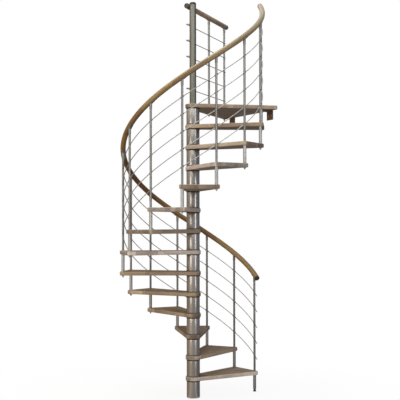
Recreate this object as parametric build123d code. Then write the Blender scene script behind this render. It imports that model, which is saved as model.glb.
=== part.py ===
import os
from math import asin, atan, atan2, cos, degrees, hypot, radians, sin, tan

from build123d import *

# Spiral stair of wooden treads threaded on a steel core, climbing counter-clockwise.
# Frame: origin on the axis of the pole at the floor, +Z up, +X out over the landing edge.
# Lengths are in millimetres and angles in degrees.

# The climb
tread_count = 13
rise = 200.0
step_angle = 26.3
first_post_angle = -5.2
post_circle_radius = 668.0

# Treads and platform
tread_thickness = 38.0
tread_corner_radius = 22.0
tread_edge_chamfer = 4.0
post_inset = 29.0
hub_radius = 73.0
landing_reach = 764.0
guard_edge_angle = 35.5

# Pole
core_radius = 32.0
core_wall = 4.0
tube_radius = 63.0
tube_wall = 3.0
tube_ring_height = 9.0
tube_ring_lip = 2.0
tube_spigot_height = 10.0
base_plate_thickness = 10.0
anchor_circle_radius = 46.0
anchor_hole_radius = 5.5
anchor_hole_count = 4
cap_height = 28.0
cap_crown_height = 11.0
cap_crown_inset = 11.0
cap_plug_depth = 25.0
core_above_rail = 6.0

# Balusters
baluster_radius = 10.5
ferrule_radius = 12.5
ferrule_length = 45.0
sleeve_radius = 15.0
stud_radius = 6.0
stud_end = 18.0
nut_across_flats = 19.0
nut_height = 9.0
foot_height = 25.0
foot_pad_radius = 16.0
foot_pad_thickness = 5.0
foot_neck_radius = 8.0

# Handrail and infill rods
rail_radius = 25.0
rail_height = 955.0
rail_foot_overhang = 76.0
rail_top_overhang = 48.0
rail_end_chamfer = 3.0
rail_joint_gap = 0.4
rod_count = 5
rod_radius = 4.0
rod_stub = 65.0
rod_joint_gap = 0.4

# Guard beside the platform
guard_near_share = 0.56
guard_rail_start = -20.0
guard_rail_past_post = 60.0
guard_rod_stub = 30.0
lug_radius = 7.0
lug_width = 14.0

# Slab brackets under the landing edge
bracket_width = 100.0
bracket_drop = 90.0
bracket_leg = 70.0
bracket_thickness = 6.0
bracket_end_inset = 135.0
bracket_hole_radius = 5.5
bracket_hole_spacing = 56.0

# Running clearance round pins, studs and rods, and the overrun of every cut
clearance = 0.3
overrun = 2.0

# Angles and heights that follow from the sizes above
half_step = step_angle / 2
post_count = tread_count + 1
platform_top = post_count * rise
rail_slope = degrees(atan(rise / (post_circle_radius * radians(step_angle))))
rod_gap = (rail_height - rail_radius) / (rod_count + 1)
baluster_bore_radius = baluster_radius + clearance
rod_bore_radius = rod_radius + clearance
rail_seat_radius = rail_radius + clearance


def polar(radius, angle):
    return Vector(radius * cos(radians(angle)), radius * sin(radians(angle)), 0)


def post_angle(number):
    return first_post_angle + (number - 1) * step_angle


def at_post(number, height=0.0):
    """Place on the circle of posts, turned so that local +Y points up the climb."""
    angle = post_angle(number)
    return Pos(polar(post_circle_radius, angle) + Vector(0, 0, height)) * Rot(0, 0, angle)


def along_climb():
    """Turn a shape that lies along Z so that it lies along the slope of the rail."""
    return Rot(rail_slope - 90, 0, 0)


def drill(radius, length):
    return Cylinder(radius, length + 2 * overrun)


def ring(outer, inner, height):
    """Tube that stands on its own origin."""
    base = (Align.CENTER, Align.CENTER, Align.MIN)
    return Cylinder(outer, height, align=base) - Cylinder(inner, height, align=base)


def post_rod(radius, low, high):
    return Pos(0, 0, low) * Cylinder(radius, high - low, align=(Align.CENTER, Align.CENTER, Align.MIN))


# Plan of a tread about its centre line: a round hub run out tangent to two round corners
corner_x = post_circle_radius * cos(radians(half_step)) + post_inset - tread_corner_radius
corner_y = post_circle_radius * sin(radians(half_step)) + post_inset - tread_corner_radius
corner_distance = hypot(corner_x, corner_y)
edge_taper = degrees(asin((hub_radius - tread_corner_radius) / corner_distance))
edge_angle = degrees(atan2(corner_y, corner_x)) - edge_taper


def board(corners):
    """Board with a round hub at the origin and round corners at the given centres, top face at zero."""
    rims = Circle(hub_radius).edges()
    for corner in corners:
        rims += (Pos(corner) * Circle(tread_corner_radius)).edges()
    solid = extrude(make_hull(rims), -tread_thickness)
    rim = solid.faces().sort_by(Axis.Z)[0].edges() + solid.faces().sort_by(Axis.Z)[-1].edges()
    solid = chamfer(rim, tread_edge_chamfer)
    return solid - Pos(0, 0, -tread_thickness / 2) * drill(core_radius + clearance, tread_thickness)


def hole_in_board(place, radius):
    return Pos(place) * Pos(0, 0, -tread_thickness / 2) * drill(radius, tread_thickness)


def make_tread():
    solid = board([Vector(corner_x, -corner_y, 0), Vector(corner_x, corner_y, 0)])
    solid -= hole_in_board(polar(post_circle_radius, -half_step), baluster_bore_radius)
    return solid - hole_in_board(polar(post_circle_radius, half_step), stud_radius + clearance)


# Platform: its front edge is that of one more tread, and its guard edge leaves the hub at its own angle
front_edge_angle = post_angle(post_count) + half_step - edge_angle
corner_offset = hub_radius - tread_corner_radius
platform_corner_x = landing_reach - tread_corner_radius


def corner_y_on_edge(angle, offset):
    """Y of a platform corner on a line that leaves the pole at an angle, shifted sideways by the offset."""
    return platform_corner_x * tan(radians(angle)) + offset / cos(radians(angle))


front_corner_y = corner_y_on_edge(front_edge_angle, -corner_offset)
guard_corner_y = corner_y_on_edge(guard_edge_angle, corner_offset)

# Line of the guard: it passes behind the core, parallel to the guard edge of the platform
guard_along = polar(1, guard_edge_angle)
guard_across = polar(1, guard_edge_angle + 90)
guard_offset = core_radius + rail_radius + clearance
guard_far_post = (landing_reach - post_inset - guard_across.X * guard_offset) / guard_along.X
guard_posts = [guard_near_share * guard_far_post, guard_far_post]


def on_guard(distance, height=0.0):
    """Place on the line of the guard, turned so that local +X runs along it away from the core."""
    place = guard_across * guard_offset + guard_along * distance + Vector(0, 0, platform_top + height)
    return Pos(place) * Rot(0, 0, guard_edge_angle)


def make_platform():
    solid = board([Vector(platform_corner_x, corner_y, 0) for corner_y in (front_corner_y, guard_corner_y)])
    solid -= hole_in_board(polar(post_circle_radius, post_angle(post_count)), baluster_bore_radius)
    for distance in guard_posts:
        place = guard_across * guard_offset + guard_along * distance
        solid -= hole_in_board(place, stud_radius + clearance)
    return Pos(0, 0, platform_top) * solid


def make_base_plate():
    """Round plate inside the lowest tube, anchored to the floor."""
    solid = post_rod(tube_radius - tube_wall - clearance, 0, base_plate_thickness)
    for number in range(anchor_hole_count):
        place = polar(anchor_circle_radius, 45 + number * 360 / anchor_hole_count)
        solid -= Pos(place) * drill(anchor_hole_radius, 2 * base_plate_thickness)
    return solid


def make_centre_post():
    """Core tube that stands on the base plate, carries every hub and ends above the guard."""
    height = platform_top + rail_height + core_above_rail - base_plate_thickness
    return Pos(0, 0, base_plate_thickness) * ring(core_radius, core_radius - core_wall, height)


def make_guard_rod_eyes():
    """Eye brackets on the back of the core, one for each rod of the guard."""
    reach = guard_offset - core_radius
    eye = Rot(0, 90, 0) * Cylinder(lug_radius, lug_width)
    arm_align = (Align.CENTER, Align.MAX, Align.CENTER)
    eye += Box(lug_width, reach + core_radius / 2, 2 * lug_radius, align=arm_align)
    eye -= Rot(0, 90, 0) * drill(rod_bore_radius, lug_width)
    eye -= Pos(0, -guard_offset, 0) * Cylinder(core_radius, 4 * lug_radius)
    return [on_guard(0, number * rod_gap) * eye for number in range(1, rod_count + 1)]


def make_centre_post_cap():
    """Crowned plug that closes the top of the core."""
    plug_radius = core_radius - core_wall - clearance
    crown_base = cap_height - cap_crown_height
    outline = Polyline(
        (0, -cap_plug_depth),
        (plug_radius, -cap_plug_depth),
        (plug_radius, 0),
        (core_radius, 0),
        (core_radius, crown_base),
        (core_radius - cap_crown_inset, cap_height),
        (0, cap_height),
        close=True,
    )
    solid = revolve(make_face(Plane.XZ * outline), Axis.Z)
    return Pos(0, 0, platform_top + rail_height + core_above_rail) * solid


def make_pole_tubes():
    """Spacer tubes of the pole: the lowest one stands on the floor, each of the others between two rings."""
    length = rise - tread_thickness - tube_ring_height
    lowest = ring(tube_radius, tube_radius - tube_wall, length)
    other = ring(tube_radius, tube_radius - tube_wall, length - tube_ring_height)
    return [lowest] + [Pos(0, 0, number * rise + tube_ring_height) * other for number in range(1, post_count)]


def make_tube_rings():
    """Rings that centre the tubes on the core, one on each tread and one under each board."""
    bore = core_radius + clearance
    lower = ring(tube_radius + tube_ring_lip, bore, tube_ring_height)
    lower += ring(tube_radius - tube_wall - clearance, bore, tube_ring_height + tube_spigot_height)
    upper = Rot(180, 0, 0) * lower
    rings = [Pos(0, 0, number * rise) * lower for number in range(1, post_count)]
    rings += [Pos(0, 0, number * rise - tread_thickness) * upper for number in range(1, post_count + 1)]
    return rings


def make_baluster(low, stud_low):
    """Baluster about the top face of the tread that it passes, bored for the rods and coped to the rail."""
    solid = post_rod(baluster_radius, low, rail_height)
    seat_height = rail_height - rail_radius / cos(radians(rail_slope))
    solid += post_rod(ferrule_radius, seat_height - ferrule_length, rail_height)
    if stud_low < low:
        solid += post_rod(stud_radius, stud_low, low)
    solid -= Pos(0, 0, rail_height) * along_climb() * Cylinder(rail_seat_radius, 4 * rail_radius)
    for number in range(1, rod_count + 1):
        solid -= Pos(0, 0, number * rod_gap) * along_climb() * drill(rod_bore_radius, 4 * baluster_radius)
    return solid


def make_sleeve(low):
    return Pos(0, 0, low) * ring(sleeve_radius, baluster_bore_radius, -tread_thickness - low)


def make_nut():
    """Nut under a board, its top face at zero."""
    plan = RegularPolygon(nut_across_flats / 2, 6, major_radius=False) - Circle(stud_radius + clearance)
    return extrude(plan, -nut_height)


def make_leveling_foot():
    """Cone foot under the first baluster, on a flat pad."""
    outline = Polyline(
        (0, 0),
        (foot_pad_radius, 0),
        (foot_pad_radius, foot_pad_thickness),
        (foot_neck_radius, foot_height),
        (0, foot_height),
        close=True,
    )
    return at_post(1) * revolve(make_face(Plane.XZ * outline), Axis.Z)


def climb_point(angle, height):
    """Point on the line of the climb at an angle round the pole, at a height over the nosings."""
    nosing = rise * ((angle - first_post_angle) / step_angle + 1)
    return polar(post_circle_radius, angle) + Vector(0, 0, nosing + height)


def climb_bar(radius, start_angle, end_angle, height):
    """Round bar bent to the arc through three points of the climb, which leaves the true helix by a hair."""
    middle_angle = (start_angle + end_angle) / 2
    start = climb_point(start_angle, height)
    end = climb_point(end_angle, height)
    arc = ThreePointArc(start, climb_point(middle_angle, height), end)
    inward = arc.arc_center
    arc_plane = Plane(inward, x_dir=start - inward, z_dir=(start - inward).cross(end - inward))
    return arc_plane * Torus(arc.radius, radius, major_angle=degrees(arc.length / arc.radius), align=None)


def arc_angle(length):
    return degrees(length * cos(radians(rail_slope)) / post_circle_radius)


def climb_bars(radius, marks, gap, height):
    """Row of bars end to end between the marked angles, with a small joint between neighbours."""
    half_gap = arc_angle(gap) / 2
    return [climb_bar(radius, low + half_gap, high - half_gap, height) for low, high in zip(marks, marks[1:])]


def ease_end(bar, end):
    """Take the sharp edge off the end face of a rail that lies nearest to a point."""
    face = bar.faces().filter_by(GeomType.PLANE).sort_by_distance(end)[0]
    return chamfer(face.edges(), rail_end_chamfer)


def make_handrail():
    """Wooden rail in glued lengths, each one carried by its own baluster."""
    marks = [post_angle(number) + half_step for number in range(1, post_count)]
    start = post_angle(1) - arc_angle(rail_foot_overhang)
    end = post_angle(post_count) + arc_angle(rail_top_overhang)
    bars = climb_bars(rail_radius, [start] + marks + [end], rail_joint_gap, rail_height)
    bars[0] = ease_end(bars[0], climb_point(start, rail_height))
    bars[-1] = ease_end(bars[-1], climb_point(end, rail_height))
    return bars


def make_rod_line(number):
    """One line of infill rods, a rod to each bay, meeting inside the balusters."""
    marks = [post_angle(post) for post in range(1, post_count + 1)]
    marks[0] -= arc_angle(rod_stub)
    marks[-1] += arc_angle(rod_stub)
    return climb_bars(rod_radius, marks, rod_joint_gap, number * rod_gap)


def make_guard_baluster():
    """Upright of the guard about the top face of the platform."""
    solid = post_rod(baluster_radius, 0, rail_height)
    solid += post_rod(ferrule_radius, rail_height - rail_radius - ferrule_length, rail_height)
    solid += post_rod(stud_radius, -tread_thickness - stud_end, 0)
    solid -= Pos(0, 0, rail_height) * Rot(0, 90, 0) * Cylinder(rail_seat_radius, 4 * rail_radius)
    for number in range(1, rod_count + 1):
        solid -= Pos(0, 0, number * rod_gap) * Rot(0, 90, 0) * drill(rod_bore_radius, 4 * baluster_radius)
    return solid


def guard_bar(radius, start, end, height):
    bar = Cylinder(radius, end - start, align=(Align.CENTER, Align.CENTER, Align.MIN))
    return on_guard(start, height) * Rot(0, 90, 0) * bar


def make_guard_handrail():
    bar = guard_bar(rail_radius, guard_rail_start, guard_far_post + guard_rail_past_post, rail_height)
    return chamfer(bar.edges().filter_by(GeomType.CIRCLE), rail_end_chamfer)


def make_guard_rods():
    start = -guard_rod_stub
    end = guard_far_post + guard_rod_stub
    return [guard_bar(rod_radius, start, end, number * rod_gap) for number in range(1, rod_count + 1)]


def make_bracket():
    """Angle about the middle of its bend line, one leg under the board and one down the slab edge."""
    underside = platform_top - tread_thickness
    level = Box(bracket_leg, bracket_width, bracket_thickness, align=(Align.MAX, Align.CENTER, Align.MAX))
    upright = Box(bracket_thickness, bracket_width, bracket_drop, align=(Align.MAX, Align.CENTER, Align.MAX))
    solid = level + upright
    inner_bend = solid.edges().filter_by(Axis.Y).sort_by_distance(
        Vector(-bracket_thickness, 0, -bracket_thickness))[0]
    solid = fillet(inner_bend, bracket_thickness)
    middle = -(bracket_thickness + bracket_drop) / 2
    for side in (-1, 1):
        shift = side * bracket_hole_spacing / 2
        solid -= Pos(0, shift, middle) * Rot(0, 90, 0) * drill(bracket_hole_radius, 2 * bracket_thickness)
        solid -= Pos(middle * bracket_leg / bracket_drop, shift, 0) * drill(
            bracket_hole_radius, 2 * bracket_thickness)
    return Pos(landing_reach, 0, underside) * solid


def bracket_places():
    low = front_corner_y - tread_corner_radius + bracket_end_inset
    high = guard_corner_y + tread_corner_radius - bracket_end_inset
    return [low, high]


# Assembly: one entry for each node, in the order in which the stair is put together
nodes = {"base_plate": make_base_plate(), "centre_post": make_centre_post()}
nodes["pole_tubes"] = make_pole_tubes()
nodes["tube_rings"] = make_tube_rings()

tread = make_tread()
for number in range(1, tread_count + 1):
    turn = Rot(0, 0, post_angle(number) + half_step)
    nodes[f"tread_{number:02d}"] = Pos(0, 0, number * rise) * turn * tread
nodes["platform"] = make_platform()

stud_low = -rise - tread_thickness - stud_end
first_baluster = make_baluster(foot_height - rise, foot_height - rise)
plain_baluster = make_baluster(-rise, stud_low)
sleeves = [at_post(1, rise) * make_sleeve(foot_height - rise)]
nuts = []
nodes["baluster_01"] = at_post(1, rise) * first_baluster
for number in range(2, post_count + 1):
    nodes[f"baluster_{number:02d}"] = at_post(number, number * rise) * plain_baluster
    sleeves.append(at_post(number, number * rise) * make_sleeve(-rise))
    nuts.append(at_post(number, (number - 1) * rise - tread_thickness) * make_nut())
nodes["baluster_sleeves"] = sleeves
nodes["baluster_nuts"] = nuts
nodes["leveling_foot"] = make_leveling_foot()

for number in range(1, rod_count + 1):
    nodes[f"rod_line_{number}"] = make_rod_line(number)
nodes["handrail"] = make_handrail()

nodes["guard_rod_eyes"] = make_guard_rod_eyes()
nodes["guard_balusters"] = [on_guard(distance) * make_guard_baluster() for distance in guard_posts]
nodes["guard_rods"] = make_guard_rods()
nodes["guard_handrail"] = make_guard_handrail()
nodes["centre_post_cap"] = make_centre_post_cap()
nodes["guard_nuts"] = [on_guard(distance, -tread_thickness) * make_nut() for distance in guard_posts]
nodes["platform_brackets"] = [Pos(0, shift, 0) * make_bracket() for shift in bracket_places()]

os.makedirs("parts", exist_ok=True)
for name, shape in nodes.items():
    if isinstance(shape, list):
        shape = Compound(children=shape)
    export_step(shape, f"parts/{name}.step")
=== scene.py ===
import math

import bmesh
import bpy
from mathutils import Matrix, Vector


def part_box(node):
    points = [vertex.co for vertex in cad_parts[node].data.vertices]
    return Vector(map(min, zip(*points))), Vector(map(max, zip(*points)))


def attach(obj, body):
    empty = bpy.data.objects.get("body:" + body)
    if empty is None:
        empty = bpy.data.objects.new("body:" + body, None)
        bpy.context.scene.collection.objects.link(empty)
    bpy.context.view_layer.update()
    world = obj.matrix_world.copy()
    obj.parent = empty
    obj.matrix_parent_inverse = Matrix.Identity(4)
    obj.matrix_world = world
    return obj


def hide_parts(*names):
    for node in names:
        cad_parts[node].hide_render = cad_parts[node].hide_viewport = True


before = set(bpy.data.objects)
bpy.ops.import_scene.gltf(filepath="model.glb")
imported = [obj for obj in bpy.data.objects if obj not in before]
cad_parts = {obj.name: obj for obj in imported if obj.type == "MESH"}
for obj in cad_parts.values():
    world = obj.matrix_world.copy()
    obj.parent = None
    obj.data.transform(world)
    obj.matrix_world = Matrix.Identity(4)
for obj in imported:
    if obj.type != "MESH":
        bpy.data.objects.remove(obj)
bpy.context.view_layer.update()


# Base plate: a round steel plate, laser cut, galvanised and bolted to the floor inside the lowest tube.
# It carries the foot of the core and shows only from below.
class Wire:
    """One output in a node tree; a sum on it adds a Math node to that tree."""

    def __init__(self, tree, socket=None):
        self.tree = tree
        self.socket = socket

    def node(self, kind, sockets=(), output=0, **settings):
        """Add a node, set it up, feed its sockets by name or number, and hand back one of its outputs."""
        made = self.tree.nodes.new(kind)
        for name, value in settings.items():
            setattr(made, name, value)
        for key, fed in dict(sockets).items():
            for item in fed if isinstance(fed, list) else [fed]:
                if isinstance(item, Wire):
                    self.tree.links.new(item.socket, made.inputs[key])
                else:
                    made.inputs[key].default_value = item
        return Wire(self.tree, made.outputs[output]) if made.outputs else None

    def math(self, operation, *others):
        return self.node("ShaderNodeMath", enumerate((self, *others)), operation=operation)

    def __add__(self, other):
        return self.math("ADD", other)

    def __sub__(self, other):
        return self.math("SUBTRACT", other)

    def __mul__(self, other):
        return self.math("MULTIPLY", other)

    def __truediv__(self, other):
        return self.math("DIVIDE", other)

    def __rsub__(self, other):
        return self.node("ShaderNodeMath", {0: other, 1: self}, operation="SUBTRACT")

    __radd__ = __add__
    __rmul__ = __mul__

    def stretched(self, factors):
        return self.node("ShaderNodeVectorMath", {0: self, 1: factors}, operation="MULTIPLY")

    def parts(self):
        """The X, Y and Z of a vector."""
        first = self.node("ShaderNodeSeparateXYZ", {0: self})
        return [Wire(self.tree, socket) for socket in first.socket.node.outputs]

    def vector(self, x, y, z):
        return self.node("ShaderNodeCombineXYZ", {0: x, 1: y, 2: z})

    def noise(self, scale, detail=2.0):
        """Cloudy value between 0 and 1 over a vector."""
        return self.node("ShaderNodeTexNoise", {"Vector": self, "Scale": scale, "Detail": detail})

    def between(self, low, high):
        """Value stretched so that low becomes 0 and high becomes 1, and cut off there."""
        return self.node("ShaderNodeMapRange", {"Value": self, "From Min": low, "From Max": high})

    def tint(self, low, high):
        """Colour between two others, by this value."""
        return self.node("ShaderNodeMix", {0: self, 6: low, 7: high}, output=2, data_type="RGBA")

    def stored(self, label, kind="FLOAT"):
        """Value that each point or face of a mesh has under a name."""
        return self.node("GeometryNodeInputNamedAttribute", {"Name": label}, data_type=kind)

    def store(self, label, value, kind="FLOAT", domain="POINT"):
        """This geometry, with a value kept on it under a name."""
        return self.node("GeometryNodeStoreNamedAttribute", {"Geometry": self, "Name": label, "Value": value},
                         data_type=kind, domain=domain)


def new_finish(name):
    material = bpy.data.materials.new(name)
    material.use_nodes = True
    material.node_tree.nodes.clear()
    return material, Wire(material.node_tree)


def close_finish(wire, sockets, relief, depth):
    """End a material in a Principled shader, with a relief of the given depth in metres."""
    bump = wire.node("ShaderNodeBump", {"Height": relief, "Distance": depth})
    shader = wire.node("ShaderNodeBsdfPrincipled", {**sockets, "Normal": bump})
    wire.node("ShaderNodeOutputMaterial", {"Surface": shader})


def object_place(wire):
    return wire.node("ShaderNodeTexCoord", output="Object")


def galvanised_steel():
    """Zinc with faint crystals of about 12 mm."""
    material, wire = new_finish("galvanised_steel")
    place = object_place(wire)
    crystals_per_metre = 80.0
    crystals = wire.node("ShaderNodeTexVoronoi", {"Vector": place, "Scale": crystals_per_metre},
                         output="Color")
    crystal = crystals.parts()[0]
    cloud = place.noise(14.0)
    shade = crystal * 0.5 + cloud * 0.5
    close_finish(wire, {
        "Base Color": shade.tint((0.30, 0.31, 0.32, 1), (0.50, 0.51, 0.52, 1)),
        "Metallic": 0.9,
        "Roughness": crystal * 0.2 + 0.35,
    }, relief=cloud, depth=0.0004)
    return material


def dress(node, material):
    """Give the CAD node its finish."""
    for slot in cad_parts[node].material_slots:
        slot.material = material


dress("base_plate", galvanised_steel())


# Core: a steel tube that stands on the base plate, passes through every hub and shows above the platform.
# It is drawn tube with a satin silver lacquer, and the eyes for the guard's rods are welded to its back.
def lacquered_steel(name, light, dark, roughness, metallic, brush=(60.0, 60.0, 1.5), painted_shade_share=0.3):
    """Satin metal with soft streaks along its length, and painted shade that darkens it towards the floor."""
    material, wire = new_finish(name)
    place = object_place(wire)
    streak = place.stretched(brush).noise(4.0, 3.0)
    cloud = place.noise(5.0)
    fleck = place.noise(900.0, 1.0)
    # Painted shade: the coat is mixed towards a dark colour lower down, standing in for less light near the
    # floor.
    painted_shade_top = 2.4
    painted_shade_colour = (0.09, 0.082, 0.075, 1)
    painted_low_shade = 1 - place.parts()[2].between(0.0, painted_shade_top)
    coat = (streak * 0.6 + cloud * 0.4).between(0.25, 0.75).tint(dark, light)
    close_finish(wire, {
        "Base Color": (painted_low_shade * painted_shade_share).tint(coat, painted_shade_colour),
        "Metallic": metallic,
        "Roughness": roughness - 0.08 + streak * 0.1 + cloud * 0.06,
    }, relief=fleck, depth=0.00002)
    return material


post_lacquer = lacquered_steel("post_lacquer", (0.28, 0.277, 0.242, 1), (0.21, 0.207, 0.178, 1),
                               roughness=0.30, metallic=0.9)
dress("centre_post", post_lacquer)


# Pole tubes: stainless spacer tubes between the hubs, cut from brushed tube and slipped over the core.
# Their rims are broken with a small round, and all but the lowest sit between two plastic rings.
def new_shape(name, inputs):
    """Start a Geometry Nodes tree with the named inputs, and hand back its wires."""
    tree = bpy.data.node_groups.new(name, "GeometryNodeTree")
    tree.interface.new_socket("Geometry", in_out="INPUT", socket_type="NodeSocketGeometry")
    for label, kind in inputs.items():
        tree.interface.new_socket(label, in_out="INPUT", socket_type="NodeSocket" + kind)
    tree.interface.new_socket("Geometry", in_out="OUTPUT", socket_type="NodeSocketGeometry")
    entry = tree.nodes.new("NodeGroupInput")
    return Wire(tree), {socket.name: Wire(tree, socket) for socket in entry.outputs}


def close_shape(wire, shape, finish, crease=math.radians(20)):
    """Realize a tree's shape, shade it smooth up to the crease angle and give it its material."""
    whole = wire.node("GeometryNodeRealizeInstances", {0: shape})
    whole = wire.node("GeometryNodeSetShadeSmooth", {0: whole, "Shade Smooth": True})
    soft = wire.node("GeometryNodeInputMeshEdgeAngle").math("LESS_THAN", crease)
    whole = wire.node("GeometryNodeSetShadeSmooth", {0: whole, "Shade Smooth": soft}, domain="EDGE")
    whole = wire.node("GeometryNodeSetMaterial", {"Geometry": whole, "Material": finish})
    wire.node("NodeGroupOutput", {0: whole})
    return wire.tree


def add_object(name, data):
    """New object in the scene, at the origin."""
    made = bpy.data.objects.new(name, data)
    bpy.context.scene.collection.objects.link(made)
    return made


def grow(name, base, tree, values, slot, *nodes):
    """Run a tree on a base mesh, keep the result as a plain mesh object and fix it to the stair.
    The slot is not used, and the nodes are those of the CAD that it stands for."""
    piece = add_object(name, base)
    modifier = piece.modifiers.new("shape", "NODES")
    modifier.node_group = tree
    for item in tree.interface.items_tree:
        if item.in_out == "INPUT" and item.name in values:
            modifier[item.identifier] = values[item.name]
    bpy.context.view_layer.update()
    graph = bpy.context.evaluated_depsgraph_get()
    mesh = bpy.data.meshes.new_from_object(piece.evaluated_get(graph))
    piece.modifiers.remove(modifier)
    piece.data = mesh
    mesh.name = name
    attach(piece, "root")
    if nodes:
        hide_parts(*nodes)


def plain_mesh(name, points, edges=(), faces=()):
    mesh = bpy.data.meshes.new(name)
    mesh.from_pydata([tuple(point) for point in points], edges, faces)
    return mesh


def point_mesh(name, points, **values):
    """Loose points with a named value on each, for a tree to build on."""
    mesh = plain_mesh(name, points)
    for label, listed in values.items():
        as_vector = hasattr(listed[0], "__len__")
        layer = mesh.attributes.new(label, "FLOAT_VECTOR" if as_vector else "FLOAT", "POINT")
        for row, value in zip(layer.data, listed):
            if as_vector:
                row.vector = value
            else:
                row.value = value
    return mesh


def ring_stack_tree():
    """A ring round the pole at every point, swept from a wall section with eased corners."""
    wire, given = new_shape("ring_stack", {
        "Radius": "Float", "Wall": "Float", "Height": "Float", "Edge": "Float", "Finish": "Material",
    })
    wall = wire.node("GeometryNodeCurvePrimitiveQuadrilateral",
                     {"Width": given["Wall"], "Height": given["Height"]})
    edge_steps = 3
    wall = wire.node("GeometryNodeFilletCurve", {
        "Curve": wall, "Count": edge_steps, "Radius": given["Edge"], "Limit Radius": True,
    }, mode="POLY")
    ring_sides = 80
    round_path = wire.node("GeometryNodeCurvePrimitiveCircle",
                           {"Resolution": ring_sides, "Radius": given["Radius"] - given["Wall"] / 2})
    ring = wire.node("GeometryNodeCurveToMesh", {"Curve": round_path, "Profile Curve": wall})
    stack = wire.node("GeometryNodeInstanceOnPoints", {
        "Points": given["Geometry"], "Instance": ring, "Scale": wire.vector(1.0, 1.0, wire.stored("stretch")),
    })
    return close_shape(wire, stack, given["Finish"])


def brushed_stainless():
    """Stainless tube with long hair lines, a slightly different tone from tube to tube, and painted shade,
    darker and browner, low down.
    """
    material, wire = new_finish("brushed_stainless")
    place = object_place(wire)
    hair = place.stretched((420.0, 420.0, 5.0)).noise(1.0, 3.0)
    band = place.stretched((38.0, 38.0, 0.8)).noise(1.0)
    tube = (place.parts()[2] / rise).math("FLOOR")
    tone = wire.node("ShaderNodeTexWhiteNoise", {"W": tube}, noise_dimensions="1D")
    shade = hair * 0.25 + band * 0.4 + tone * 0.35
    steel = shade.between(0.2, 0.8).tint((0.40, 0.385, 0.37, 1), (0.58, 0.565, 0.55, 1))
    # Painted shade: the steel is mixed towards a dark brown lower down, standing in for less light and a dull
    # reflection near the floor.
    painted_shade_top = 1.8
    painted_shade_share = 0.38
    painted_shade_colour = (0.24, 0.20, 0.15, 1)
    painted_low_shade = 1 - place.parts()[2].between(0.0, painted_shade_top)
    close_finish(wire, {
        "Base Color": (painted_low_shade * painted_shade_share).tint(steel, painted_shade_colour),
        "Metallic": 0.86,
        "Roughness": hair * 0.1 + 0.2,
    }, relief=hair, depth=0.00001)
    return material


tread_tops = [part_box(f"tread_{number:02d}")[1].z for number in range(1, 14)] + [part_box("platform")[1].z]
post_count = len(tread_tops)
rise = tread_tops[1] - tread_tops[0]
tread_thickness = tread_tops[0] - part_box("tread_01")[0].z
tube_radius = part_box("pole_tubes")[1].x
tube_wall = 0.003
tube_edge = 0.0008
ring_height = tread_tops[-1] - tread_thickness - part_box("pole_tubes")[1].z
lowest_length = rise - tread_thickness - ring_height
tube_length = lowest_length - ring_height

stacked_rings = ring_stack_tree()
tube_points = [(0, 0, lowest_length / 2)]
tube_points += [(0, 0, top + ring_height + tube_length / 2) for top in tread_tops[:-1]]
tube_stretches = [lowest_length / tube_length] + [1.0] * (post_count - 1)
tube_base = point_mesh("pole_tubes", tube_points, stretch=tube_stretches)
grow("pole_tubes_brushed", tube_base, stacked_rings, {
    "Radius": tube_radius,
    "Wall": tube_wall,
    "Height": tube_length,
    "Edge": tube_edge,
    "Finish": brushed_stainless(),
}, "pole_steel", "pole_tubes")


# Tube rings: plastic rings under the foot of a spacer tube and over its head, so that steel never marks the
# hub; the foot rings are painted a paler grey than the black head rings, as painted light on the hub's lit
# top. They are moulded, a little wider than the tube, and centre it with a spigot inside.
def moulded_plastic(name, colour, worn):
    """Matt moulding with a fine spark texture and paler scuffs."""
    material, wire = new_finish(name)
    place = object_place(wire)
    spark = place.noise(1400.0, 1.0)
    scuff = place.stretched((1.0, 1.0, 3.0)).noise(40.0, 4.0).between(0.55, 0.8)
    close_finish(wire, {
        "Base Color": scuff.tint(colour, worn),
        "Roughness": spark * 0.2 + scuff * 0.15 + 0.5,
    }, relief=spark, depth=0.0002)
    return material


ring_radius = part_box("tube_rings")[1].x
ring_wall = 0.012
ring_edge = 0.0012
black_plastic = moulded_plastic("black_moulding", (0.012, 0.012, 0.013, 1), (0.035, 0.034, 0.034, 1))
# Painted light: the foot rings sit on the lit top of each hub and get this paler grey.
lit_ring_plastic = moulded_plastic("lit_ring_moulding", (0.08, 0.074, 0.068, 1), (0.14, 0.13, 0.12, 1))
head_points = [(0, 0, top - tread_thickness - ring_height / 2) for top in tread_tops]
foot_points = [(0, 0, top + ring_height / 2) for top in tread_tops[:-1]]


def tube_ring_stack(name, points, finish, *nodes):
    """One ring for each point, centred on it."""
    grow(name, point_mesh(name, points, stretch=[1.0] * len(points)), stacked_rings, {
        "Radius": ring_radius,
        "Wall": ring_wall,
        "Height": ring_height,
        "Edge": ring_edge,
        "Finish": finish,
    }, "black_plastic", *nodes)


tube_ring_stack("tube_head_rings", head_points, black_plastic, "tube_rings")
tube_ring_stack("tube_foot_rings", foot_points, lit_ring_plastic)


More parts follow.
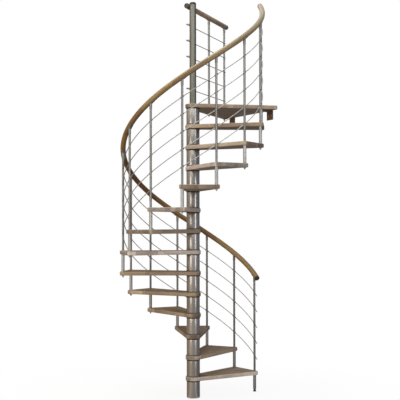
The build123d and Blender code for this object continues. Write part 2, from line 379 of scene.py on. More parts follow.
# Treads: wedge boards of glued beech staves, cut to a round hub, rounded over all round and oiled.
# Each is bored for the core, for the baluster at its nose and for the bolt of the next one behind.
def board_tree():
    """Hull of rounded discs at the solid points, drilled where bore is 1, with painted shade that darkens the
    top and the underside.
    """
    wire, given = new_shape("board", {
        "Thickness": "Float", "Edge": "Float", "Turn": "Float", "Height": "Float",
        "Grain shift": "Vector", "Tone": "Float", "Finish": "Material",
    })
    thickness, edge = given["Thickness"], given["Edge"]
    reach, bored = wire.stored("reach"), wire.stored("bore")
    disc_sides, drill_sides = 56, 48
    circle = wire.node("GeometryNodeMeshCircle", {"Vertices": disc_sides, "Radius": 1.0})
    rims = []
    edge_steps = 3
    for step in range(edge_steps + 1):
        turn = math.radians(90) * step / edge_steps
        drop = edge * (1 - math.cos(turn))
        inset = edge * (1 - math.sin(turn))
        for height in (0 - drop, drop - thickness):
            lifted = wire.node("GeometryNodeSetPosition",
                               {"Geometry": given["Geometry"], "Offset": wire.vector(0.0, 0.0, height)})
            rims.append(wire.node("GeometryNodeInstanceOnPoints", {
                "Points": lifted, "Selection": 1 - bored, "Instance": circle, "Scale": reach - inset,
            }))
    rims = wire.node("GeometryNodeRealizeInstances", {0: wire.node("GeometryNodeJoinGeometry", {0: rims})})
    solid = wire.node("GeometryNodeConvexHull", {0: rims})
    bit = wire.node("GeometryNodeMeshCylinder",
                    {"Vertices": drill_sides, "Radius": 1.0, "Depth": 1.0}, output="Mesh")
    drills = wire.node("GeometryNodeInstanceOnPoints", {
        "Points": given["Geometry"], "Selection": bored, "Instance": bit,
        "Scale": wire.vector(reach, reach, thickness * 4),
    })
    drills = wire.node("GeometryNodeRealizeInstances", {0: drills})
    solid = wire.node("GeometryNodeMeshBoolean", {0: solid, 1: drills}, operation="DIFFERENCE")
    place = wire.node("GeometryNodeInputPosition")
    grain = wire.node("ShaderNodeVectorMath", {0: place, 1: given["Grain shift"]}, operation="ADD")
    solid = solid.store("grain", grain, "FLOAT_VECTOR")
    facing_along, _, facing_up = wire.node("GeometryNodeInputNormal").parts()
    solid = solid.store("end_grain", facing_along.math("ABSOLUTE").between(0.75, 0.95), domain="FACE")
    # Painted shade: faces that look up or down are darkened, standing in for the shade on tread tops under
    # the stair and on the undersides.
    level = 0.9
    top_shade_loss, underside_shade_loss = 0.37, 0.22
    painted_top_shade = facing_up.math("GREATER_THAN", level) * top_shade_loss
    underside = facing_up.math("LESS_THAN", -level) * underside_shade_loss
    solid = solid.store("board_tone", given["Tone"] * (1 - painted_top_shade - underside), domain="FACE")
    solid = wire.node("GeometryNodeTransform", {
        "Geometry": solid,
        "Translation": wire.vector(0.0, 0.0, given["Height"]),
        "Rotation": wire.vector(0.0, 0.0, given["Turn"]),
    })
    return close_shape(wire, solid, given["Finish"])


def oiled_beech(name, light, dark, stave_width, stave_length, tone_range, coat, end_dark, hue_with_tone_and_light):
    """Glued staves with a tone for each, grain, fine pores, end grain that drinks oil and turns dark, and
    painted light and shade carried in with the stored tone.
    """
    material, wire = new_finish(name)
    grain = wire.node("ShaderNodeAttribute", output="Vector", attribute_name="grain")
    end = wire.node("ShaderNodeAttribute", output="Fac", attribute_name="end_grain")
    board_tone = wire.node("ShaderNodeAttribute", output="Fac", attribute_name="board_tone")
    along, across, up = grain.parts()
    row = (across / stave_width).math("FLOOR")
    slide = wire.node("ShaderNodeTexWhiteNoise", {"W": row}, noise_dimensions="1D")
    slide_lengths = 5
    length = along / stave_length + slide * slide_lengths
    stave = wire.vector(row, length.math("FLOOR"), 0.0)
    tone = wire.node("ShaderNodeTexWhiteNoise", {"Vector": stave}, noise_dimensions="2D")
    shift_along, shift_across = 11, 3
    own = wire.vector(along + tone * shift_along, across + tone * shift_across, up)
    figure = own.stretched((2.2, 26.0, 26.0)).noise(1.0, 3.0)
    fibre = own.stretched((9.0, 260.0, 260.0)).noise(1.0, 2.0)
    pore = own.stretched((70.0, 1600.0, 1600.0)).noise(1.0, 1.0).between(0.58, 0.72)
    side_gap = ((across / stave_width).math("FRACT") - 0.5).math("ABSOLUTE").between(0.484, 0.5)
    end_gap = (length.math("FRACT") - 0.5).math("ABSOLUTE").between(0.4975, 0.5)
    gap = side_gap.math("MAXIMUM", end_gap)
    shade = (figure * 0.62 + fibre * 0.38).between(0.34, 0.67)
    pore_dark, gap_dark = 0.16, 0.3
    value = (1 - tone_range / 2 + tone * tone_range) * (1 - pore * pore_dark) * (1 - gap * gap_dark)
    # The stored tone carries the wood's own tone and painted light and shade; as it darkens the colour turns
    # more saturated and its hue shifts.
    value = value * (1 - end * end_dark) * board_tone
    colour = wire.node("ShaderNodeHueSaturation", {
        "Hue": 0.492 + tone * 0.016 + (board_tone - 1) * hue_with_tone_and_light,
        "Saturation": 1.9 - board_tone * 1.02,
        "Value": value,
        "Color": shade.tint(dark, light),
    })
    close_finish(wire, {
        "Base Color": colour,
        "Roughness": 0.4 + fibre * 0.16 + end * 0.1,
        "Coat Weight": (1 - end) * coat,
        "Coat Roughness": 0.3,
    }, relief=fibre * 0.5 - gap * 0.8, depth=0.0002)
    return material


def middle(node):
    low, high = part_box(node)
    return (low + high) / 2


posts = [middle(f"baluster_{number:02d}").xy for number in range(1, post_count + 1)]
post_circle_radius = posts[0].length
post_angles = [math.atan2(post.y, post.x) for post in posts]
step_angle = post_angles[1] - post_angles[0]
first_angle = post_angles[0]
post_angles = [first_angle + number * step_angle for number in range(post_count)]

hub_radius = -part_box("platform")[0].x
core_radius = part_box("centre_post")[1].x
corner_radius = 0.022
board_edge = 0.007
post_inset = 0.029
bore_clearance = 0.0003
baluster_radius = 0.0105
stud_radius = 0.006
corner_x = post_circle_radius * math.cos(step_angle / 2) + post_inset - corner_radius
corner_y = post_circle_radius * math.sin(step_angle / 2) + post_inset - corner_radius
nose_post = Vector((math.cos(step_angle / 2), -math.sin(step_angle / 2))) * post_circle_radius

pale_boards = (1, 7, 9, 11)
dark_boards = (3, 4, 5, 6, 13)
pale_tone, plain_tone, dark_tone = 1.3, 1.0, 0.8
grain_step = (1.37, 0.613, 0.217)
boards = board_tree()
tread_wood = oiled_beech("tread_beech", (0.43, 0.328, 0.243, 1), (0.25, 0.177, 0.117, 1),
                         stave_width=0.046, stave_length=0.34, tone_range=0.46,
                         coat=0.12, end_dark=0.5, hue_with_tone_and_light=-0.02)
tread_points = [(0, 0, 0), (corner_x, -corner_y, 0), (corner_x, corner_y, 0),
                (0, 0, 0), (nose_post.x, nose_post.y, 0), (nose_post.x, -nose_post.y, 0)]
tread_reaches = [hub_radius, corner_radius, corner_radius,
                 core_radius + bore_clearance, baluster_radius + bore_clearance, stud_radius + bore_clearance]
for number in range(1, post_count):
    name = f"tread_{number:02d}"
    base = point_mesh(name, tread_points, reach=tread_reaches, bore=[0.0] * 3 + [1.0] * 3)
    grow(name + "_board", base, boards, {
        "Thickness": tread_thickness,
        "Edge": board_edge,
        "Turn": first_angle + (number - 0.5) * step_angle,
        "Height": tread_tops[number - 1],
        "Grain shift": tuple(number * step for step in grain_step),
        "Tone": pale_tone if number in pale_boards else dark_tone if number in dark_boards else plain_tone,
        "Finish": tread_wood,
    }, "tread_wood", name)


# Platform: one larger board of the same glued beech, with its straight side at the landing.
# It is bored for the core, for the last baluster and for the bolts of the guard.
platform_low, platform_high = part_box("platform")
ferrule_radius = 0.0125
guard_low, guard_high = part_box("guard_balusters")
guard_posts = [guard_low.xy + Vector((ferrule_radius, ferrule_radius)),
               guard_high.xy - Vector((ferrule_radius, ferrule_radius))]
landing_x = platform_high.x - corner_radius
platform_points = [(0, 0, 0), (landing_x, platform_low.y + corner_radius, 0),
                   (landing_x, platform_high.y - corner_radius, 0), (0, 0, 0), (*posts[-1], 0)]
platform_points += [(*post, 0) for post in guard_posts]
platform_reaches = tread_reaches[:5] + [stud_radius + bore_clearance] * len(guard_posts)
platform_grain = (31.7, 5.21, 2.2)
platform_tone = 0.92
platform_base = point_mesh("platform", platform_points, reach=platform_reaches, bore=[0.0] * 3 + [1.0] * 4)
grow("platform_board", platform_base, boards, {
    "Thickness": tread_thickness,
    "Edge": board_edge,
    "Height": tread_tops[-1],
    "Grain shift": platform_grain,
    "Tone": platform_tone,
    "Finish": tread_wood,
}, "tread_wood", "platform")


# Balusters: slim steel tubes in silver grey powder coat, one through the nose of every tread.
# All but the first stand on a bolt through the tread below, and each is drilled for the five rods.
def drawn(name, shape):
    """Object of a drawn shape, with its doubles merged and its faces outwards."""
    merge_distance = 1e-6
    bmesh.ops.remove_doubles(shape, verts=shape.verts, dist=merge_distance)
    bmesh.ops.recalc_face_normals(shape, faces=shape.faces)
    mesh = bpy.data.meshes.new(name)
    shape.to_mesh(mesh)
    shape.free()
    return add_object(name, mesh)


def turned(name, outline, sides=28):
    """Shape turned about the vertical from (radius, height) pairs, listed from the bottom up."""
    shape = bmesh.new()
    rings = []
    for radius, height in outline:
        spokes = [math.tau * (side + 0.5) / sides for side in range(sides)]
        rings.append([shape.verts.new((radius * math.cos(a), radius * math.sin(a), height)) for a in spokes])
    for low, high in zip(rings, rings[1:]):
        for side in range(sides):
            after = (side + 1) % sides
            shape.faces.new((low[side], low[after], high[after], high[side]))
    shape.faces.new(rings[0][::-1])
    shape.faces.new(rings[-1])
    return drawn(name, shape)


def set_out_tree():
    """A copy of one shape at every point, turned by the point's own angles."""
    wire, given = new_shape("set_out", {"Shape": "Object", "Finish": "Material"})
    shape = wire.node("GeometryNodeObjectInfo", {"Object": given["Shape"]}, output="Geometry")
    copies = wire.node("GeometryNodeInstanceOnPoints", {
        "Points": given["Geometry"], "Instance": shape, "Rotation": wire.stored("turn", "FLOAT_VECTOR"),
    })
    return close_shape(wire, copies, given["Finish"])


def set_out(name, shape, points, turns, finish, slot, *nodes):
    """Copies of a shape as one piece of the stair, in place of the shape."""
    base = point_mesh(name, points, turn=turns)
    grow(name, base, placed_copies, {"Shape": shape, "Finish": finish}, slot, *nodes)
    bpy.data.objects.remove(shape)


def eased(radius, low, high, edge):
    """Outline of a plain turned body with its rims taken off at 45 degrees."""
    return [(radius - edge, low), (radius, low + edge), (radius, high - edge), (radius - edge, high)]


placed_copies = set_out_tree()
grey_coat = lacquered_steel("silver_grey_coat", (0.41, 0.41, 0.40, 1), (0.31, 0.31, 0.30, 1),
                            roughness=0.36, metallic=1.0)
level_rail_low, level_rail_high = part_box("guard_handrail")
rail_radius = (level_rail_high.z - level_rail_low.z) / 2
rail_height = level_rail_high.z - rail_radius - tread_tops[-1]
rail_slope = math.atan2(rise, post_circle_radius * step_angle)
rail_seat = rail_height - rail_radius / math.cos(rail_slope)
stud_end = 0.018
stud_edge = 0.0012
foot_height = 0.025
stud_low = -rise - tread_thickness - stud_end
plain_outline = eased(stud_radius, stud_low, -rise, stud_edge)[:3]
plain_outline += [(baluster_radius, -rise), (baluster_radius, rail_seat)]
baluster_turns = [(0, 0, angle) for angle in post_angles]
tops_of_posts = [(*post, top) for post, top in zip(posts, tread_tops)]
set_out("balusters", turned("baluster", plain_outline), tops_of_posts[1:], baluster_turns[1:], grey_coat,
        "baluster_steel", *[f"baluster_{number:02d}" for number in range(2, post_count + 1)])
first_outline = [(baluster_radius, foot_height - rise), (baluster_radius, rail_seat)]
set_out("first_baluster", turned("baluster", first_outline), tops_of_posts[:1], baluster_turns[:1], grey_coat,
        "baluster_steel", "baluster_01")


# Baluster sleeves: wider tubes over the balusters that carry each tread on the one below it.
# They are steel in a paler coat, cut square, and all but the lowest end in thin washers against the wood.
sleeve_radius = 0.015
sleeve_edge = 0.0005
washer_lip = 0.002
washer_radius = sleeve_radius + washer_lip
washer_height = 0.002
washer_edge = 0.0004
sleeve_low, sleeve_high = -rise, -tread_thickness
sleeve_outline = eased(washer_radius, sleeve_low, sleeve_low + washer_height, washer_edge)
sleeve_outline += eased(sleeve_radius, sleeve_low + washer_height, sleeve_high - washer_height, sleeve_edge)
sleeve_outline += eased(washer_radius, sleeve_high - washer_height, sleeve_high, washer_edge)
sleeve_coat = lacquered_steel("sleeve_coat", (0.68, 0.68, 0.67, 1), (0.55, 0.55, 0.54, 1),
                              roughness=0.36, metallic=1.0)
first_sleeve = eased(sleeve_radius, foot_height - rise, sleeve_high, sleeve_edge)
set_out("baluster_sleeves_coated", turned("sleeve", sleeve_outline), tops_of_posts[1:], baluster_turns[1:],
        sleeve_coat, "baluster_steel", "baluster_sleeves")
set_out("lowest_sleeve", turned("sleeve", first_sleeve), tops_of_posts[:1], baluster_turns[:1],
        sleeve_coat, "baluster_steel")


# Nuts: zinc plated steel nuts, each on a thin pressed washer, run up the bolt of every baluster.
# They clamp it under the back corner of the tread below.
nut_sides = 6
nut_across_flats = 0.019
nut_height = 0.009
nut_chamfer = 0.0012
nut_washer_radius = 0.013
nut_washer_height = 0.0015
nut_washer_edge = 0.0003
bright_zinc = lacquered_steel("bright_zinc", (0.52, 0.51, 0.47, 1), (0.34, 0.33, 0.31, 1),
                              roughness=0.34, metallic=1.0, brush=(300.0, 300.0, 300.0))
nut_corner = nut_across_flats / 2 / math.cos(math.pi / nut_sides)
nut_outline = [(nut_corner - nut_chamfer, -nut_height), (nut_corner, -nut_height + nut_chamfer),
               (nut_corner, -nut_washer_height)]
washer_outline = eased(nut_washer_radius, -nut_washer_height, 0, nut_washer_edge)
under_boards = [(*post, top - tread_thickness) for post, top in zip(posts[1:], tread_tops)]
set_out("baluster_nuts_zinc", turned("nut", nut_outline, nut_sides), under_boards, baluster_turns[1:],
        bright_zinc, "nut_steel", "baluster_nuts")
set_out("nut_washers", turned("washer", washer_outline), under_boards, baluster_turns[1:],
        bright_zinc, "nut_steel")


# Levelling foot: a black plastic cone on a flat pad, moulded in one piece round a bolt.
# It is screwed into the foot of the first baluster and levels it on the floor.
foot_pad_radius = 0.016
foot_pad_height = 0.005
foot_neck_radius = 0.008
foot_edge = 0.001
foot_outline = eased(foot_pad_radius, 0, foot_pad_height, foot_edge)
foot_outline += [(foot_neck_radius + foot_edge, foot_height - 4 * foot_edge),
                 (foot_neck_radius, foot_height - 2 * foot_edge), (foot_neck_radius, foot_height)]
set_out("levelling_foot_cone", turned("foot", foot_outline), [(*posts[0], 0)], baluster_turns[:1],
        black_plastic, "black_plastic", "leveling_foot")


# Infill rods: five thin stainless rods, bent to the climb and threaded through the balusters.
# Their ends run on a little past the first and last baluster.
def round_bar_tree():
    """Round bar along a path, with eased ends, grain along the path, ends that soak up oil (a long dark foot
    is painted shade), and painted light and shade that is darkest at a share of the length and paler towards
    both ends."""
    sizes = ("Radius", "Ease", "Grain shift", "Darkest painted tone", "Darkest painted share", "Painted light gain", "Foot soak and shade", "Head soak")
    wire, given = new_shape("round_bar", {
        "Count": "Int", "Sides": "Int", **dict.fromkeys(sizes, "Float"), "Finish": "Material",
    })
    ease, count = given["Ease"], given["Count"]
    path = wire.node("GeometryNodeMeshToCurve", {0: given["Geometry"]})
    length = wire.node("GeometryNodeCurveLength", {0: path})
    line = wire.node("GeometryNodeMeshLine", {"Count": count})
    line = wire.node("GeometryNodeMeshToCurve", {0: line})
    number = wire.node("GeometryNodeInputIndex") * 1.0
    end_steps = 3
    from_end = number.math("MINIMUM", count - 1 - number).math("MINIMUM", end_steps)
    turn = from_end * (math.radians(90) / end_steps)
    side = 1 - (number * 2).math("GREATER_THAN", count) * 2
    run = ((number - end_steps) / (count - (2 * end_steps + 1))).between(0.0, 1.0)
    station = ease + run * (length - ease * 2) - ease * turn.math("COSINE") * side
    spot = wire.node("GeometryNodeSampleCurve", {"Curves": path, "Length": station},
                     output="Position", mode="LENGTH")
    line = wire.node("GeometryNodeSetPosition", {"Geometry": line, "Position": spot})
    girth = 1 - ease / given["Radius"] * (1 - turn.math("SINE"))
    line = wire.node("GeometryNodeSetCurveRadius", {"Curve": line, "Radius": girth})
    foot_soak_and_shade = 1 - station.between(0.0, given["Foot soak and shade"])
    soak_and_shade = foot_soak_and_shade.math("MAXIMUM", 1 - (length - station).between(0.0, given["Head soak"]))
    # Painted light and shade: this tone along the bar stands in for how light falls on it, and is stored with
    # the wood's tone.
    from_low = station / length - given["Darkest painted share"]
    tone = given["Darkest painted tone"] + from_low * from_low * given["Painted light gain"]
    line = line.store("along", station).store("end_grain", soak_and_shade).store("board_tone", tone)
    section = wire.node("GeometryNodeCurvePrimitiveCircle",
                        {"Resolution": given["Sides"], "Radius": given["Radius"]})
    section = section.store("section", wire.node("GeometryNodeInputPosition"), "FLOAT_VECTOR")
    bar = wire.node("GeometryNodeCurveToMesh", {"Curve": line, "Profile Curve": section, "Fill Caps": True})
    across, up, _ = wire.stored("section", "FLOAT_VECTOR").parts()
    grain = wire.vector(wire.stored("along") + given["Grain shift"], across, up)
    bar = bar.store("grain", grain, "FLOAT_VECTOR")
    return close_shape(wire, bar, given["Finish"], crease=math.radians(35))


def path_mesh(name, points):
    """Points joined in a row, for a bar to follow."""
    return plain_mesh(name, points, edges=[(number, number + 1) for number in range(len(points) - 1)])


def climb_point(angle, height):
    """Point on the line of the climb, at a height over the line of nosings."""
    nosing = rise * ((angle - first_angle) / step_angle + 1)
    x, y = post_circle_radius * math.cos(angle), post_circle_radius * math.sin(angle)
    return Vector((x, y, nosing + height))


def climb_path(name, foot_overhang, top_overhang, height, stations=360):
    """The climb from the first baluster to the last, run on by an overhang at each end."""
    turn_per_length = math.cos(rail_slope) / post_circle_radius
    start = post_angles[0] - foot_overhang * turn_per_length
    end = post_angles[-1] + top_overhang * turn_per_length
    shares = [station / stations for station in range(stations + 1)]
    return path_mesh(name, [climb_point(start + (end - start) * share, height) for share in shares])


round_bars = round_bar_tree()
rod_count = 5
rod_stub = 0.065
rod_gap = (rail_height - rail_radius) / (rod_count + 1)
rod_steel = lacquered_steel("rod_stainless", (0.50, 0.50, 0.49, 1), (0.40, 0.40, 0.39, 1),
                            roughness=0.5, metallic=0.9, brush=(40.0, 40.0, 40.0), painted_shade_share=0.0)
rod_bar = {"Radius": 0.004, "Ease": 0.001, "Sides": 12, "Finish": rod_steel}
rod_heights = [number * rod_gap for number in range(1, rod_count + 1)]
for number, height in enumerate(rod_heights, 1):
    path = climb_path("rod", rod_stub, rod_stub, height)
    grow(f"infill_rod_{number}", path, round_bars, {"Count": 130, **rod_bar},
         "rod_steel", f"rod_line_{number}")


# Rod bushes: dark grey plastic bushes pressed into the balusters, one at each crossing with a rod.
# They are short barrels with eased rims and stand out on both sides of the tube.
bush_radius = 0.0068
bush_half_length = 0.019
bush_edge = 0.0014
bush_sides = 16
bush_plastic = moulded_plastic("grey_bush", (0.10, 0.10, 0.098, 1), (0.15, 0.15, 0.147, 1))
bush_outline = eased(bush_radius, -bush_half_length, bush_half_length, bush_edge)
bush_points = [(*post, top + height) for post, top in zip(posts, tread_tops) for height in rod_heights]
climb_turns = [(rail_slope - math.radians(90), 0, angle) for angle in post_angles]
bush_turns = [turn for turn in climb_turns for height in rod_heights]
set_out("rod_bushes", turned("bush", bush_outline, bush_sides), bush_points, bush_turns, bush_plastic,
        "baluster_steel")


# Handrail: a round beech rail, glued up from short lengths, wound to the climb and oiled.
# It rests on a saddle over every baluster, its ends are eased and dark with oil, and painted light and shade
# leave it darkest about a third of the way up and palest at its head.
rail_foot_overhang = 0.076
rail_top_overhang = 0.048
rail_wood = oiled_beech("rail_beech", (0.300, 0.210, 0.094, 1), (0.147, 0.095, 0.031, 1),
                        stave_width=0.031, stave_length=0.37, tone_range=0.4,
                        coat=0.5, end_dark=0.75, hue_with_tone_and_light=0.05)
rail_bar = {"Radius": rail_radius, "Ease": 0.004, "Sides": 36}
rail_path = climb_path("handrail", rail_foot_overhang, rail_top_overhang, rail_height)
grow("handrail_wound", rail_path, round_bars, {
    **rail_bar,
    "Count": 240,
    "Grain shift": 0.5,
    # Painted light and shade: the rail is darkest at this share of its length and paler towards both ends.
    "Darkest painted tone": 0.64,
    "Darkest painted share": 0.34,
    "Painted light gain": 1.7,
    "Foot soak and shade": 0.02,
    "Head soak": 0.02,
    "Finish": rail_wood,
}, "rail_wood", "handrail")


# Ferrules and saddles: turned caps of grey lacquered steel on the balusters, each with a small cupped
# plate, pressed from sheet, that is screwed up into the underside of the rail.
def saddle(name, length, inner_radius, plate, half_angle, steps=10):
    """Cupped plate under a round rail that lies along Z, centred on its own axis."""
    shape = bmesh.new()
    loops = []
    for height in (-length / 2, length / 2):
        loop = []
        for radius, direction in ((inner_radius, 1), (inner_radius + plate, -1)):
            for step in range(steps + 1):
                angle = half_angle * (2 * step / steps - 1) * direction
                loop.append(shape.verts.new((radius * math.sin(angle), radius * math.cos(angle), height)))
        loops.append(loop)
    low, high = loops
    for corner in range(len(low)):
        after = (corner + 1) % len(low)
        shape.faces.new((low[corner], low[after], high[after], high[corner]))
    for step in range(steps):
        far = len(low) - 1 - step
        for loop in loops:
            shape.faces.new((loop[step], loop[step + 1], loop[far - 1], loop[far]))
    return drawn(name, shape)


ferrule_grey = lacquered_steel("ferrule_grey", (0.36, 0.355, 0.345, 1), (0.26, 0.26, 0.25, 1),
                               roughness=0.4, metallic=0.85)
ferrule_length = 0.045
ferrule_edge = 0.001
ferrule_sink = 0.008
ferrule_outline = eased(ferrule_radius, rail_seat - ferrule_length, rail_seat + ferrule_sink, ferrule_edge)
set_out("baluster_ferrules", turned("ferrule", ferrule_outline), tops_of_posts, baluster_turns, ferrule_grey,
        "baluster_steel")
saddle_sizes = {"length": 0.05, "inner_radius": rail_radius, "plate": 0.003, "half_angle": math.radians(42)}
saddle_points = [(*post, top + rail_height) for post, top in zip(posts, tread_tops)]
set_out("rail_saddles", saddle("saddle", **saddle_sizes), saddle_points, climb_turns, ferrule_grey,
        "baluster_steel")


# Guard: two coated balusters on the platform, a straight beech rail that ends behind the core, and five rods.
# The balusters are bolted through the platform, and the rods run on into eyes on the core.
# The rail's first part, at and behind the core, is painted nearly black as painted shade.
guard_along = (guard_posts[1] - guard_posts[0]).normalized()
guard_foot = guard_posts[0] - guard_along * guard_posts[0].dot(guard_along)
guard_far = (guard_posts[1] - guard_foot).dot(guard_along)
guard_turn = math.atan2(guard_along.y, guard_along.x)
platform_top = tread_tops[-1]


def guard_path(name, start, end, height):
    ends = [guard_foot + guard_along * distance for distance in (start, end)]
    return path_mesh(name, [(*end, platform_top + height) for end in ends])


def guard_set(name, shape, heights, turn, finish, slot, *nodes):
    """Copies of a shape on both guard balusters, at each height over the platform."""
    points = [(*post, platform_top + height) for post in guard_posts for height in heights]
    set_out(name, shape, points, [turn] * len(points), finish, slot, *nodes)


guard_seat = rail_height - rail_radius
guard_outline = eased(stud_radius, -tread_thickness - stud_end, 0, stud_edge)[:3]
guard_outline += [(baluster_radius, 0), (baluster_radius, guard_seat)]
upright = (0, 0, guard_turn)
lying = (math.radians(-90), 0, guard_turn - math.radians(90))
guard_set("guard_balusters_coated", turned("baluster", guard_outline), [0], upright, grey_coat,
          "baluster_steel", "guard_balusters")
guard_sink = 0.006
guard_ferrule = eased(ferrule_radius, guard_seat - ferrule_length, guard_seat + guard_sink, ferrule_edge)
guard_set("guard_ferrules", turned("ferrule", guard_ferrule), [0], upright, ferrule_grey, "baluster_steel")
guard_set("guard_saddles", saddle("saddle", **saddle_sizes), [rail_height], lying, ferrule_grey,
          "baluster_steel")
guard_set("guard_nuts_zinc", turned("nut", nut_outline, nut_sides), [-tread_thickness], upright, bright_zinc,
          "nut_steel", "guard_nuts")
guard_set("guard_washers", turned("washer", washer_outline), [-tread_thickness], upright, bright_zinc,
          "nut_steel")

guard_wood = oiled_beech("guard_beech", (0.43, 0.30, 0.205, 1), (0.24, 0.152, 0.098, 1),
                         stave_width=0.031, stave_length=0.33, tone_range=0.3,
                         coat=0.3, end_dark=0.9, hue_with_tone_and_light=0.0)
dress("guard_rod_eyes", grey_coat)
guard_rail_start = -0.02
guard_rail_past_post = 0.06
guard_rod_stub = 0.03
guard_rail_path = guard_path("guard_rail", guard_rail_start, guard_far + guard_rail_past_post, rail_height)
grow("guard_handrail_round", guard_rail_path, round_bars, {
    **rail_bar,
    "Count": 60,
    "Darkest painted tone": 1.0,
    # Painted shade: the long foot soak darkens the rail's first part nearly black.
    "Foot soak and shade": 0.16,
    "Head soak": 0.035,
    "Finish": guard_wood,
}, "rail_wood", "guard_handrail")
for number, height in enumerate(rod_heights, 1):
    path = guard_path("guard_rod", -guard_rod_stub, guard_far + guard_rod_stub, height)
    nodes = ["guard_rods"] if number == 1 else []
    grow(f"guard_rod_{number}", path, round_bars, {"Count": 12, **rod_bar}, "rod_steel", *nodes)
guard_set("guard_bushes", turned("bush", bush_outline, bush_sides), rod_heights, lying, bush_plastic,
          "baluster_steel")


# Cap: a crowned plug, moulded in the same black plastic as the rings.
# It is pushed into the top of the core and covers its rim.
core_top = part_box("centre_post")[1].z
cap_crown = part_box("centre_post_cap")[1].z - core_top
cap_rim = 0.45
cap_sides = 48
crown_turns = (20, 40, 60, 75, 86)
plug_length = 0.02
plug_gap, plug_foot_gap = 0.005, 0.006
cap_outline = [(core_radius - plug_foot_gap, -plug_length), (core_radius - plug_gap, 0),
               (core_radius, 0), (core_radius, cap_crown * cap_rim)]
cap_outline += [(core_radius * math.cos(turn), cap_crown * (cap_rim + (1 - cap_rim) * math.sin(turn)))
                for turn in map(math.radians, crown_turns)]
set_out("core_cap", turned("cap", cap_outline, cap_sides), [(0, 0, core_top)], [(0, 0, 0)], black_plastic,
        "black_plastic", "centre_post_cap")


# Slab brackets: two bent steel angles in brown paint, screwed up into the platform's landing edge.
# The other leg bolts to the edge of the floor above.
def brown_paint():
    """Brushed brown paint with chips down to primer along the rims."""
    material, wire = new_finish("brown_paint")
    place = object_place(wire)
    brush = place.stretched((30.0, 160.0, 30.0)).noise(1.0, 3.0)
    chip = place.noise(220.0, 4.0).between(0.68, 0.74)
    colour = brush.tint((0.105, 0.058, 0.033, 1), (0.165, 0.10, 0.06, 1))
    primer = (0.22, 0.17, 0.13, 1)
    close_finish(wire, {
        "Base Color": chip.tint(colour, primer),
        "Roughness": brush * 0.2 + chip * 0.2 + 0.4,
    }, relief=brush * 0.5 - chip * 0.5, depth=0.0003)
    return material


dress("platform_brackets", brown_paint())

screw_radius = 0.0055
screw_height = 0.003
screw_sides = 16
screw_setback = 0.0373
screw_spacing = 0.056
bracket_width = 0.1
bracket_thickness = 0.006
bracket_low, bracket_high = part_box("platform_brackets")
screw_line = platform_high.x - screw_setback
screw_plane = platform_top - tread_thickness - bracket_thickness
bracket_middles = (bracket_low.y + bracket_width / 2, bracket_high.y - bracket_width / 2)
screw_points = [(screw_line, centre + side * screw_spacing / 2, screw_plane)
                for centre in bracket_middles for side in (-1, 1)]
screw_profile = ((0.45, 1), (0.8, 0.75), (1, 0.2), (1, 0))
screw_outline = [(screw_radius * across, -screw_height * down) for across, down in screw_profile]
set_out("bracket_screws", turned("screw", screw_outline, screw_sides), screw_points,
        [(0, 0, 0)] * len(screw_points), bright_zinc, "nut_steel")


# Studio: a pale floor that fades to white and keeps the stair's shadow, and white all round for the camera.
# Two soft boxes and a low sun light the front, with fills at the left and behind and a wide box overhead.
# A dim room, warm at the left and lit high up, shows only in what the stair mirrors.
heading = math.radians(30.80)
pitch = math.radians(1.4943)
roll = math.radians(0.0912)
camera_place = Vector((-4.1573, -7.1039, 1.6652))
focal_length = 77.335
forward = Vector((math.sin(heading), math.cos(heading), 0))
rightward = Vector((math.cos(heading), -math.sin(heading), 0))

world = bpy.data.worlds.new("white_studio")
world.use_nodes = True
world.node_tree.nodes.clear()
sky = Wire(world.node_tree)
ambient = 0.28
white = (1, 1, 1, 1)


def seen_ray(wire):
    """1 for rays that show the background: from the camera, off metal and through glass."""
    paths = wire.node("ShaderNodeLightPath").socket.node.outputs
    camera_ray, glossy_ray, clear_ray = (
        Wire(wire.tree, paths[f"Is {kind} Ray"]) for kind in ("Camera", "Glossy", "Transmission"))
    return camera_ray.math("MAXIMUM", glossy_ray).math("MAXIMUM", clear_ray)


backdrop = sky.node("ShaderNodeBackground", {
    "Color": white, "Strength": seen_ray(sky) * (1 - ambient) + ambient,
})
sky.node("ShaderNodeOutputWorld", {"Surface": backdrop})
bpy.context.scene.world = world

floor_reach = 40.0
floor_corners = [(x * floor_reach, y * floor_reach, 0) for x, y in ((-1, -1), (1, -1), (1, 1), (-1, 1))]
floor = add_object("floor", plain_mesh("floor", floor_corners, faces=[(0, 1, 2, 3)]))
floor_finish, floor_wire = new_finish("pale_floor")
shade_start = 0.3
shade_reach = 2.4
shown_white = 0.9
warm_bounce = (0.42, 0.355, 0.27, 1)
pale_paint = (0.9, 0.9, 0.9, 1)
place = object_place(floor_wire)
distance = place.node("ShaderNodeVectorMath", {0: place}, output="Value", operation="LENGTH")
fade = distance.between(shade_start, shade_reach) * (1 - shown_white) + shown_white
shown = seen_ray(floor_wire)
glow = floor_wire.node("ShaderNodeEmission", {"Color": white, "Strength": 1.0})
matt = floor_wire.node("ShaderNodeBsdfDiffuse", {"Color": shown.tint(warm_bounce, pale_paint)})
mixed = floor_wire.node("ShaderNodeMixShader", {0: fade * shown, 1: matt, 2: glow})
floor_wire.node("ShaderNodeOutputMaterial", {"Surface": mixed})
floor.data.materials.append(floor_finish)


def outward(bearing):
    """Level direction from the pole, at a bearing to the right of the camera."""
    return rightward * math.sin(bearing) - forward * math.cos(bearing)


def soft_lamp(name, bearing, distance, height, size, watts, colour, mirrored=True):
    """Soft box at a bearing in degrees to the right of the camera, facing the pole."""
    lamp = bpy.data.lights.new(name, "AREA")
    lamp.shape = "RECTANGLE"
    lamp.size, lamp.size_y = size
    lamp.energy = watts
    lamp.color = colour
    holder = add_object(name, lamp)
    holder.location = outward(math.radians(bearing)) * distance + Vector((0, 0, height))
    highest_aim = 2.0
    aim = Vector((0, 0, min(height, highest_aim))) - holder.location
    holder.rotation_euler = aim.to_track_quat("-Z", "Y").to_euler()
    holder.visible_camera = False
    holder.visible_glossy = mirrored


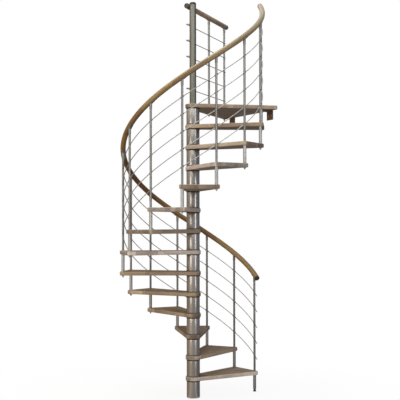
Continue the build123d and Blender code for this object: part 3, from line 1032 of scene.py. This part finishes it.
soft_lamp("left_lamp", bearing=-40, distance=4.2, height=1.65, size=(1.5, 1.8), watts=19,
          colour=(1.0, 0.93, 0.84))
soft_lamp("right_lamp", bearing=44, distance=4.2, height=2.7, size=(0.8, 4.8), watts=32,
          colour=(0.91, 0.93, 1.0))
soft_lamp("left_fill", bearing=-72, distance=4.6, height=2.9, size=(2.4, 3.2), watts=80,
          colour=(1.0, 0.94, 0.88), mirrored=False)
soft_lamp("back_fill", bearing=160, distance=4.8, height=2.6, size=(2.4, 3.2), watts=34,
          colour=(1.0, 0.97, 0.93), mirrored=False)
soft_lamp("top_lamp", bearing=-70, distance=0.9, height=5.2, size=(2.4, 2.4), watts=70,
          colour=(1.0, 0.98, 0.92))

key = bpy.data.lights.new("key_light", "SUN")
key.energy = 1.9
key.angle = math.radians(22)
key.color = (1.0, 0.98, 0.95)
key_bearing = math.radians(-8)
key_rise = math.radians(16)
key_from = outward(key_bearing) * math.cos(key_rise) + Vector((0, 0, math.sin(key_rise)))
key_holder = add_object("key_light", key)
key_holder.rotation_euler = (-key_from).to_track_quat("-Z", "Y").to_euler()
key_holder.visible_glossy = False

room_sides = 60
room_reach = 11.0
room_top = 9.0
room_lift = 0.002
floor_hole, ceiling_hole = 0.07, 0.01
room_outline = [(floor_hole, room_lift), (room_reach, room_lift),
                (room_reach, room_top), (ceiling_hole, room_top)]
room_points = [outward(math.tau * side / room_sides) * reach + Vector((0, 0, height))
               for side in range(room_sides) for reach, height in room_outline]
room_faces = []
for side in range(room_sides):
    for row in range(len(room_outline) - 1):
        first, after = (len(room_outline) * (number % room_sides) + row for number in (side, side + 1))
        room_faces.append((first, after, after + 1, first + 1))
room = add_object("dim_room", plain_mesh("dim_room", room_points, faces=room_faces))
room_finish, room_wire = new_finish("dim_room")
place = object_place(room_wire)
ahead, aside = (
    place.node("ShaderNodeVectorMath", {0: place, 1: tuple(way)}, output="Value", operation="DOT_PRODUCT")
    for way in (-forward, rightward))
bearing = aside.math("ARCTAN2", ahead)
height = place.parts()[2]


def turning(low, high):
    """Value that grows from 0 to 1 between two bearings in degrees."""
    return bearing.between(math.radians(low), math.radians(high))


warm_wall, grey_wall, cool_wall = (0.30, 0.22, 0.15, 1), (0.36, 0.33, 0.31, 1), (0.155, 0.155, 0.185, 1)
pale_wall, window, ceiling = (0.54, 0.52, 0.45, 1), (1.3, 1.3, 1.2, 1), (0.8, 0.76, 0.68, 1)
room_colour = turning(25, 75).tint(turning(-100, -10).tint(warm_wall, grey_wall), cool_wall)
upper_left = turning(-110, -70) * (1 - turning(-15, 10)) * height.between(2.2, 3.4)
room_colour = upper_left.tint(room_colour, pale_wall)
high_front = turning(-62, -38) * (1 - turning(15, 45)) * height.between(4.0, 5.0)
room_colour = high_front.tint(room_colour, window)
low_down = 1 - height.between(0.0, 1.5)
warm_streak, cool_streak = (1.1, 0.92, 0.72, 1), (1.0, 1.0, 1.02, 1)
for middle_bearing, width, strength, colour in ((-46, 40, 0.5, warm_streak), (44, 13, 0.7, cool_streak)):
    off = (bearing - math.radians(middle_bearing)).math("ABSOLUTE") / math.radians(width)
    room_colour = ((1 - off.between(0.0, 1.0)) * low_down * strength).tint(room_colour, colour)
ceiling_from = 0.95 * room_top
room_colour = height.between(ceiling_from, room_top).tint(room_colour, ceiling)
room_glow = room_wire.node("ShaderNodeEmission", {"Color": room_colour})
room_wire.node("ShaderNodeOutputMaterial", {"Surface": room_glow})
room.data.materials.append(room_finish)
room.visible_camera = False
room.visible_diffuse = False
room.visible_shadow = False
room.visible_transmission = False

camera_data = bpy.data.cameras.new("camera")
camera_data.lens = focal_length
camera_data.sensor_width = 36.0
camera_data.clip_end = 100.0
camera = add_object("camera", camera_data)
camera.rotation_mode = "QUATERNION"
turned_view = Matrix.Rotation(-heading, 3, "Z") @ Matrix.Rotation(math.radians(90) + pitch, 3, "X")
camera.rotation_quaternion = (turned_view @ Matrix.Rotation(-roll, 3, "Z")).to_quaternion()
camera.location = camera_place
bpy.context.scene.camera = camera
bpy.context.scene.view_settings.view_transform = "Standard"
